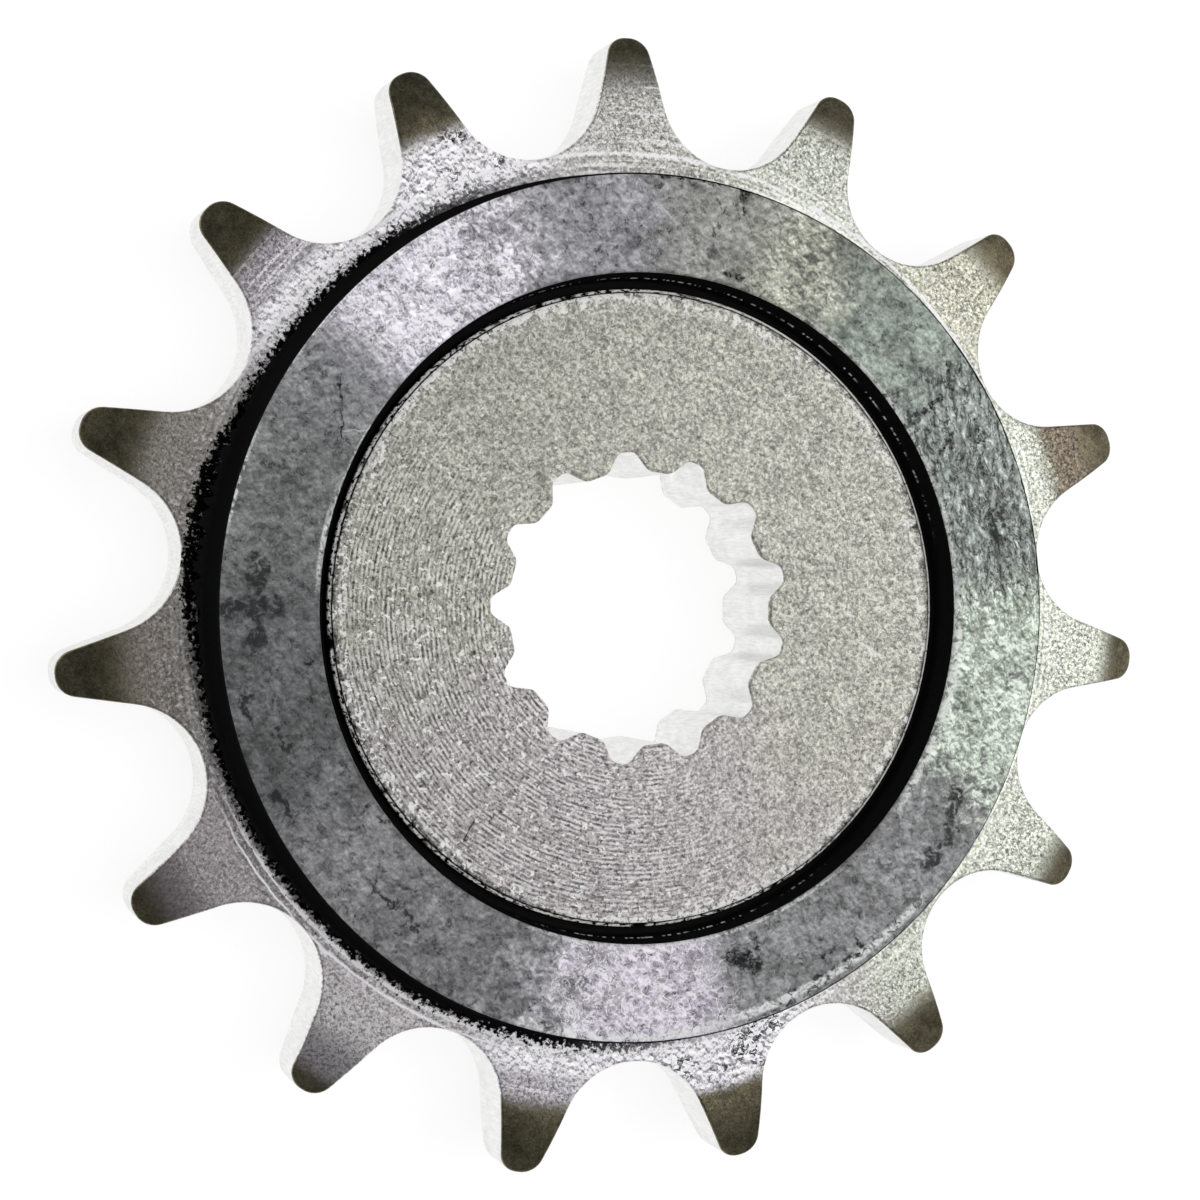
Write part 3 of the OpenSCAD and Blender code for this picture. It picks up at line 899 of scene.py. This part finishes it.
def worn_and_sheened_rubber(name, turn):
    """The ring's face: grey tone and painted sheen in stretches, flakes and creases with painted relief
    shade, smudges and cuts, and painted highlights on its edges.
    """
    f = Finish(name, turn)
    cloud = f.noise(0.35, 4.0, 0.6)
    mottle = f.noise(1.5, 4.0, 0.65, distortion=0.5)
    flakes = f.noise(1.5, 4.0, 0.7, distortion=1.0)
    veins = f.noise(1.1, 3.0, 0.6, distortion=0.8)
    # Painted shade in the creases: dark fold lines, and the creases and the face as reliefs lit from one side
    folds = f.math("ABSOLUTE", f.off_middle(f.noise(1.0, 3.0, 0.6, f.drawn(38, 1.0, 0.5), 0.6), 2.0))
    creases = f.relief(1.0, 4.0, (0, 0.22, 0), f.drawn(45, 1.3, 0.6))
    relief = f.relief(1.6, 4.0, (0.05, -0.16, 0))
    fine = f.noise(5.0, 2.0, 0.6)
    wander = f.math("ADD", f.angle, f.math("ADD", f.off_middle(cloud, 0.30), f.off_middle(flakes, 0.22)))
    colour = PLAIN_RUBBER
    # Grey tones, and painted sheen in the light stretches
    for start, end, soft, tint in TONES_AND_SHEENS:
        colour = f.mix(f.stretch(start, end, soft, wander), colour, tint)
    flaked = f.stretches(FLAKED, 10, wander)
    creased = f.stretches(CREASED, 10, wander)
    soft_shade = f.times(f.span(mottle, 0.30, 0.70, 0.60, 1.40), f.span(fine, 0.3, 0.7, 0.84, 1.16))
    # Painted light and shade from the relief, here and on the flakes below
    soft_shade = f.times(soft_shade, f.math("MULTIPLY_ADD", relief, 2.0, 1.0))
    hard_shade = f.times(f.span(flakes, 0.34, 0.62, 0.40, 1.40), f.span(fine, 0.3, 0.7, 0.82, 1.18))
    hard_shade = f.times(hard_shade, f.math("MULTIPLY_ADD", relief, 3.0, 1.0))
    colour = f.shade(colour, f.blend(flaked, soft_shade, hard_shade))
    colour = f.shade(colour, f.span(cloud, 0.30, 0.70, 0.74, 1.26))
    scribble = f.band(f.noise(0.9, 3.0, 0.6, distortion=1.4), 0.5, 0.030)
    scribble = f.times(f.most(scribble, f.span(flakes, 0.58, 0.64)), f.stretches(SCRIBBLED, 8, wander))
    colour = f.mix(f.times(scribble, 0.85), colour, SCRIBBLE_WHITE)
    hair = f.times(f.band(veins, 0.5, 0.024), f.span(mottle, 0.50, 0.40), f.left_of(flaked))
    colour = f.mix(f.times(hair, 0.8), colour, HAIR_BLACK)
    # Painted shade in the creased stretch: dark fold lines and the creases' lit and shaded sides
    crumpled = f.times(f.span(folds, 0.0, 0.06, 0.20, 1.06), f.math("MULTIPLY_ADD", creases, 5.0, 1.0))
    colour = f.shade(colour, f.blend(creased, 1.0, f.math("MAXIMUM", crumpled, 0.05)))
    smudged = f.times(f.marks(SMUDGES, f.warped(0.9, 3.2)), f.span(flakes, 0.47, 0.63, 1.0, 0.2))
    cut = f.marks(CUTS, f.warped(1.6, 1.1))
    pale = f.marks(PALE_LINES, f.warped(1.6, 0.5))
    colour = f.mix(f.times(smudged, 0.9), colour, SMUDGE_BLACK)
    colour = f.mix(f.times(cut, f.span(fine, 0.40, 0.56, 1.0, 0.45)), colour, CUT_BLACK)
    colour = f.mix(f.times(pale, 0.5), colour, PALE_GREY)
    # Painted highlights along the ring's edges, in bands about a ragged radius
    worn = f.math("ADD", f.radius, f.off_middle(flakes, 0.7))
    highlight_breakup = f.times(f.span(flakes, 0.40, 0.52), f.span(fine, 0.35, 0.6, 0.45, 0.95))
    for start, end, radius, half in EDGE_HIGHLIGHTS:
        edge_highlight = f.times(f.band(worn, radius, half), f.stretch(start, end, 8, wander), highlight_breakup)
        colour = f.mix(edge_highlight, colour, EDGE_HIGHLIGHT_GREY)
    f.set(Base_Color=colour, Specular_IOR_Level=0.2)
    f.set(Roughness=f.span(mottle, 0.34, 0.66, 0.50, 0.32))
    height = f.math("MULTIPLY_ADD", f.times(flakes, flaked), 1.0, f.times(mottle, 0.5))
    height = f.math("MULTIPLY_ADD", f.times(folds, creased), 2.0, height)
    f.set(Normal=f.bump(f.math("MULTIPLY_ADD", fine, 0.2, height), 0.06))
    return f.material


# Where painted glints run in light dots along the bead in the groove: angles from and to
DOTTED = ((-123, -33), (108, 156))
SIDE_BLACKS = ((0.006, 0.006, 0.006), (0.012, 0.012, 0.012))
DOT_WHITE = (0.90, 0.90, 0.88)


def side_rubber(name, turn):
    """Walls, groove and flash: clean black rubber, with painted glints in light dots along the bead in the
    groove.
    """
    f = Finish(name, turn)
    mottle = f.noise(2.5, 3.0, 0.6)
    bead_z = plate_top + web_t + (ring_h - web_t - RING_EDGE) * BEAD_SHARE
    # Painted glints: light dots along the bead, broken up along the groove
    dots = f.span(f.noise(1.0, 1.0, 0.5, f.polar(1.0, 2.8, 24)), 0.50, 0.57)
    worn = f.span(f.noise(1.0, 2.0, 0.6, f.polar(0.3, 0.40, 24)), 0.40, 0.54)
    inside = f.math("LESS_THAN", f.radius, hub_r + 2 * HUB_GROOVE_W)
    dots = f.times(dots, worn, f.stretches(DOTTED, 20), inside, f.band(f.height, bead_z, 0.16))
    black = f.mix(mottle, *SIDE_BLACKS)
    f.set(Base_Color=f.mix(dots, black, DOT_WHITE), Specular_IOR_Level=0.0)
    f.set(Roughness=f.span(mottle, 0.3, 0.7, 0.62, 0.48))
    f.set(Normal=f.bump(mottle, 0.03))
    return f.material


# Stage: camera, floor, light

def make_camera():
    """The camera, turned about its own axis by the roll."""
    aim = Vector(CAMERA_AIM)
    flat = math.cos(CAMERA_ELEVATION)
    back = Vector((
        flat * math.cos(CAMERA_AZIMUTH), flat * math.sin(CAMERA_AZIMUTH), math.sin(CAMERA_ELEVATION),
    ))
    data = bpy.data.cameras.new("camera")
    data.sensor_width = CAMERA_SENSOR
    data.lens = CAMERA_LENS
    data.clip_start = 1 * MM
    data.clip_end = 1e5 * MM
    camera = bpy.data.objects.new("camera", data)
    camera.rotation_mode = "QUATERNION"
    level = (-back).to_track_quat("-Z", "Y")
    camera.rotation_quaternion = level @ Quaternion((0, 0, 1), CAMERA_ROLL)
    camera.location = (aim + back * CAMERA_DISTANCE) * MM
    bpy.context.scene.collection.objects.link(camera)
    bpy.context.scene.camera = camera
    return camera


def view_axes(camera):
    """The picture's right and up, laid flat on the floor."""
    turn = camera.rotation_quaternion
    right = turn @ Vector((1, 0, 0))
    up = turn @ Vector((0, 1, 0))
    return Vector((right.x, right.y, 0)).normalized(), Vector((up.x, up.y, 0)).normalized()


def make_lamp(name, axes, right_deg, up_deg, distance, size, radiance):
    """A square soft lamp, tilted from overhead towards the picture's right and up."""
    right, up = axes
    tilt = Vector((0, 0, 1)) + right * math.tan(math.radians(right_deg)) + up * math.tan(math.radians(up_deg))
    tilt.normalize()
    data = bpy.data.lights.new(name, "AREA")
    data.shape = "SQUARE"
    data.size = size * MM
    data.energy = radiance * math.pi * (size * MM) ** 2
    lamp = bpy.data.objects.new(name, data)
    lamp.location = tilt * distance * MM
    lamp.rotation_mode = "QUATERNION"
    lamp.rotation_quaternion = (-tilt).to_track_quat("-Z", "Y")
    bpy.context.scene.collection.objects.link(lamp)
    return lamp


# Lamps: degrees from overhead to the picture's right and up, distance, size and radiance
KEY_LAMP = (33, 3, 520, 340, 1.8)
WINDOW_LAMP = (-63, 48, 520, 220, 2.0)
FILL_LAMP = (0, 0, 700, 600, 2.4)


def make_lights(camera):
    """A soft key on the right, a low window on the left, and an overhead fill that metal doesn't mirror."""
    axes = view_axes(camera)
    make_lamp("key_lamp", axes, *KEY_LAMP)
    make_lamp("window_lamp", axes, *WINDOW_LAMP)
    fill = make_lamp("fill_lamp", axes, *FILL_LAMP)
    fill.visible_glossy = False


# The floor's size, its own glow, the tint that takes shadows, and the tint that lights the object from below
FLOOR_SIZE = 6000
FLOOR_GLOW = 0.88
FLOOR_SHADE = (0.18, 0.18, 0.18)
FLOOR_BOUNCE = (0.75, 0.75, 0.74)
WORLD_LIGHT = (0.13, 0.13, 0.135)
# The white backdrop round the stage: sines of the angles above the horizon where it starts to fade and ends
BACKDROP_TOP = (0.25, 0.50)


def mixed(tree, share, a, b):
    """A shader between two others."""
    node = tree.nodes.new("ShaderNodeMixShader")
    for socket, output in zip(node.inputs, (share, a, b)):
        tree.links.new(output, socket)
    return node.outputs[0]


def make_floor():
    """A floor that glows enough to look white, keeps the shadows, and is plain white in what mirrors it."""
    half = FLOOR_SIZE / 2 * MM
    height = cad_box[0].z
    mesh = bpy.data.meshes.new("floor")
    corners = [(-half, -half, height), (half, -half, height), (half, half, height), (-half, half, height)]
    mesh.from_pydata(corners, [], [(0, 1, 2, 3)])
    material = bpy.data.materials.new("floor_white")
    material.use_nodes = True
    tree = material.node_tree
    tree.nodes.remove(tree.nodes["Principled BSDF"])
    bounce = tree.nodes.new("ShaderNodeBsdfDiffuse")
    bounce.inputs["Color"].default_value = (*FLOOR_BOUNCE, 1)
    shade = tree.nodes.new("ShaderNodeBsdfDiffuse")
    shade.inputs["Color"].default_value = (*FLOOR_SHADE, 1)
    glow = tree.nodes.new("ShaderNodeEmission")
    glow.inputs["Strength"].default_value = FLOOR_GLOW
    shaded_white = tree.nodes.new("ShaderNodeAddShader")
    tree.links.new(shade.outputs[0], shaded_white.inputs[0])
    tree.links.new(glow.outputs[0], shaded_white.inputs[1])
    white = tree.nodes.new("ShaderNodeEmission")
    path = tree.nodes.new("ShaderNodeLightPath")
    surface = mixed(tree, path.outputs["Is Camera Ray"], bounce.outputs[0], shaded_white.outputs[0])
    surface = mixed(tree, path.outputs["Is Glossy Ray"], surface, white.outputs[0])
    surface = mixed(tree, path.outputs["Is Transmission Ray"], surface, white.outputs[0])
    tree.links.new(surface, tree.nodes["Material Output"].inputs["Surface"])
    mesh.materials.append(material)
    floor = bpy.data.objects.new("floor", mesh)
    bpy.context.scene.collection.objects.link(floor)


def make_world():
    """Even grey light all round, white beyond the floor, and a white backdrop that metal mirrors."""
    world = bpy.data.worlds.new("studio")
    world.use_nodes = True
    tree = world.node_tree
    grey = tree.nodes["Background"]
    grey.inputs["Color"].default_value = (*WORLD_LIGHT, 1)
    white = tree.nodes.new("ShaderNodeBackground")
    white.inputs["Color"].default_value = (1, 1, 1, 1)
    path = tree.nodes.new("ShaderNodeLightPath")
    split = tree.nodes.new("ShaderNodeSeparateXYZ")
    tree.links.new(tree.nodes.new("ShaderNodeTexCoord").outputs["Generated"], split.inputs[0])
    low = tree.nodes.new("ShaderNodeMapRange")
    tree.links.new(split.outputs["Z"], low.inputs["Value"])
    for key, value in zip(("From Min", "From Max", "To Min", "To Max"), (*BACKDROP_TOP, 1, 0)):
        low.inputs[key].default_value = value
    backdrop = tree.nodes.new("ShaderNodeMath")
    backdrop.operation = "MULTIPLY"
    tree.links.new(path.outputs["Is Glossy Ray"], backdrop.inputs[0])
    tree.links.new(low.outputs[0], backdrop.inputs[1])
    surface = mixed(tree, backdrop.outputs[0], grey.outputs[0], white.outputs[0])
    surface = mixed(tree, path.outputs["Is Camera Ray"], surface, white.outputs[0])
    tree.links.new(surface, tree.nodes["World Output"].inputs["Surface"])
    bpy.context.scene.world = world


# The object

def seat(piece, node, slot):
    """A detailed piece takes its CAD node's place."""
    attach(piece, "root")
    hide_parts(node)


# Each ring's seed for its noise, and how far its flash reaches
FRONT_WEAR = (4, 0.42)
REAR_WEAR = (31, 0.20)
# The rear ring is worn in other places: its marks are turned round the axis by this angle
REAR_TURN = 130

steel = [hub_steel(), plate_steel(), wall_steel(), hub_edge()]
front_rubber = [worn_and_sheened_rubber("worn_and_sheened_rubber", 0), side_rubber("side_rubber", 0)]
rear_rubber = [worn_and_sheened_rubber("rear_worn_rubber", REAR_TURN), side_rubber("rear_side_rubber", REAR_TURN)]
seat(steel_body(steel), "sprocket_body", "steel")
seat(rubber_ring("front_ring", *FRONT_WEAR, front_rubber, 1), "front_damper_ring", "rubber")
seat(rubber_ring("rear_ring", *REAR_WEAR, rear_rubber, -1), "rear_damper_ring", "rubber")

bpy.context.scene.view_settings.view_transform = "Standard"
view_camera = make_camera()
make_floor()
make_world()
make_lights(view_camera)
